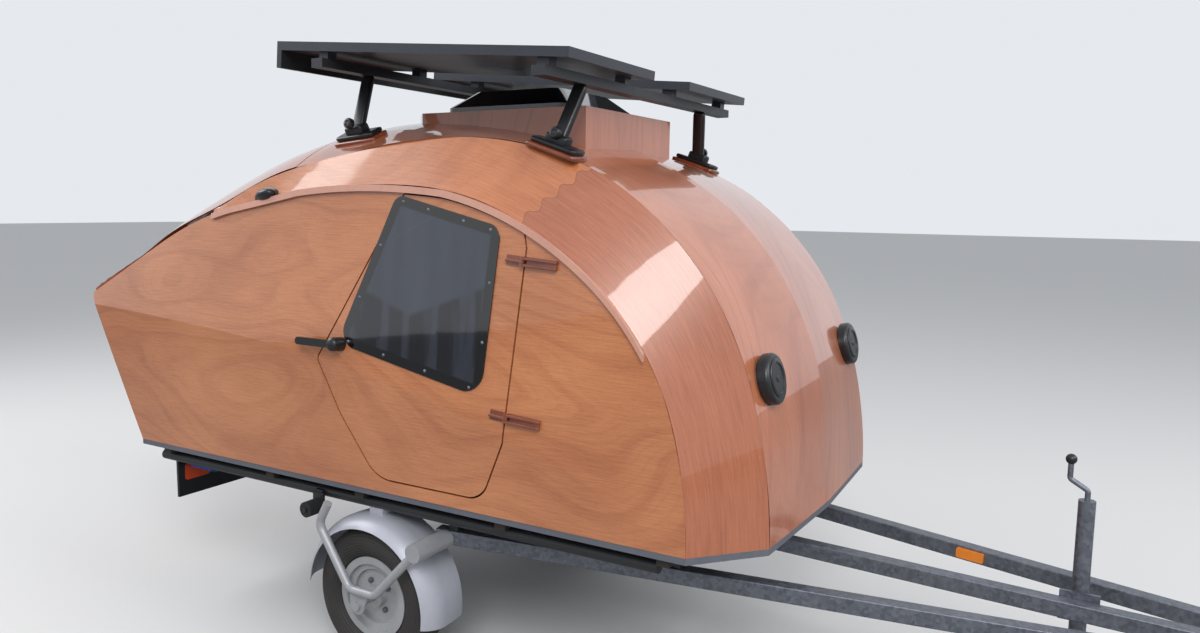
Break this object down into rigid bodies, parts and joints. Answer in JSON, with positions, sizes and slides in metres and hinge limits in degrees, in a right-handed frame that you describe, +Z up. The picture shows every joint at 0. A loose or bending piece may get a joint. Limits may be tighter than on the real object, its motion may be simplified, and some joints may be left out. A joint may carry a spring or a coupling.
{
  "type": "teardrop trailer",
  "caption": "Small sleeping trailer: a folded plywood cabin with side doors, rear hatch, roof window and solar panels on a tubular chassis with a drawbar and jack.",
  "frame": {"origin": "centre of the bounding box, on the ground", "axes": "+X forward to the coupling, +Y to the left, +Z up"},
  "size_m": [4.947, 1.608, 2.1784],
  "materials": {
    "wood_side": "glossy varnished plywood with swirling grain",
    "wood_chine": "glossy varnished plywood",
    "wood_roof": "glossy varnished plywood",
    "wood_trim": "varnished dark hardwood",
    "wood_floor": "grey painted plywood edge",
    "wood_joist": "dark stained timber",
    "window_glass": "smoked, with a black border",
    "skylight_plastic": "satin",
    "skylight_dome": "milky acrylic",
    "solar_panel": "dark cells under a clear sheet in a black rim",
    "aluminium": "anodised",
    "galvanised": "hot-dip galvanised, weathered",
    "frame_paint": "black paint",
    "fender_paint": "silver paint",
    "arm_paint": "silver paint",
    "rim_paint": "silver paint",
    "black_plastic": "moulded",
    "rubber": "matt",
    "tyre": "worn",
    "lamp_red": "clear moulded lens",
    "amber": "prismatic",
    "inlet_blue": "moulded",
    "marker_blue": "blank enamelled plate"
  },
  "bodies": {
    "root": {"side_lower_right": "wood_side", "side_lower_left": "wood_side", "side_upper_right": "wood_side", "side_upper_left": "wood_side", "chine_right": "wood_chine", "chine_left": "wood_chine", "roof_right": "wood_roof", "roof_left": "wood_roof", "drip_moulding_right": "wood_trim", "drip_moulding_left": "wood_trim", "hinge_forks_right": "wood_trim", "hinge_forks_left": "wood_trim", "fender_right": "fender_paint", "fender_left": "fender_paint", "swing_arm_right": "arm_paint", "swing_arm_left": "arm_paint", "drawbar_rail_right": "galvanised", "drawbar_rail_left": "galvanised", "solar_panel_right": "solar_panel", "solar_panel_left": "solar_panel", "floor": "wood_floor", "tail_panel": "wood_side", "skylight_plinth": "wood_roof", "skylight_frame": "skylight_plastic", "rack_bars": "aluminium", "rack_feet": "black_plastic", "rack_profile": "aluminium", "nose_vents": "black_plastic", "tail_vents": "black_plastic", "rubber_springs": "rubber", "floor_joists": "wood_joist", "frame_tubes": "frame_paint", "drawbar_middle": "galvanised", "coupling": "galvanised", "jack_body": "galvanised", "jack_crank": "galvanised", "light_board": "black_plastic", "rear_lamps": "lamp_red", "power_inlet": "inlet_blue", "reflectors": "amber", "marker_plate": "marker_blue"},
    "wheel_right": {"tyre_right": "tyre", "rim_right": "rim_paint"},
    "wheel_left": {"tyre_left": "tyre", "rim_left": "rim_paint"},
    "door_right": {"door_right": "wood_side", "window_right": "window_glass", "door_fittings_right": "wood_trim"},
    "door_left": {"door_left": "wood_side", "window_left": "window_glass", "door_fittings_left": "wood_trim"},
    "hatch": {"hatch": "wood_roof"},
    "skylight": {"skylight": "skylight_dome"},
    "jack_leg": {"jack_leg": "galvanised"}
  },
  "joints": [
    {"name": "wheel_right_spin", "type": "hinge", "parent": "root", "child": "wheel_right", "pos_m": [-0.93, -0.655, 0.2525], "axis": [0, 1, 0], "continuous": true},
    {"name": "wheel_left_spin", "type": "hinge", "parent": "root", "child": "wheel_left", "pos_m": [-0.93, 0.655, 0.2525], "axis": [0, 1, 0], "continuous": true},
    {"name": "door_right_swing", "type": "hinge", "parent": "root", "child": "door_right", "pos_m": [-0.30709, -0.73076, 1.21933], "axis": [0.0769, 0.0714, 0.9945], "range_deg": [0, 100]},
    {"name": "door_left_swing", "type": "hinge", "parent": "root", "child": "door_left", "pos_m": [-0.30709, 0.73076, 1.21933], "axis": [-0.0769, 0.0714, -0.9945], "range_deg": [0, 100]},
    {"name": "hatch_lift", "type": "hinge", "parent": "root", "child": "hatch", "pos_m": [-1.293, 0, 1.921], "axis": [0, 1, 0], "range_deg": [0, 70]},
    {"name": "skylight_tilt", "type": "hinge", "parent": "root", "child": "skylight", "pos_m": [-0.428, 0, 1.97415], "axis": [0, 1, 0], "range_deg": [0, 7]},
    {"name": "jack_lift", "type": "slide", "parent": "root", "child": "jack_leg", "axis": [0, 0, 1], "range_m": [0, 0.25]}
  ]
}
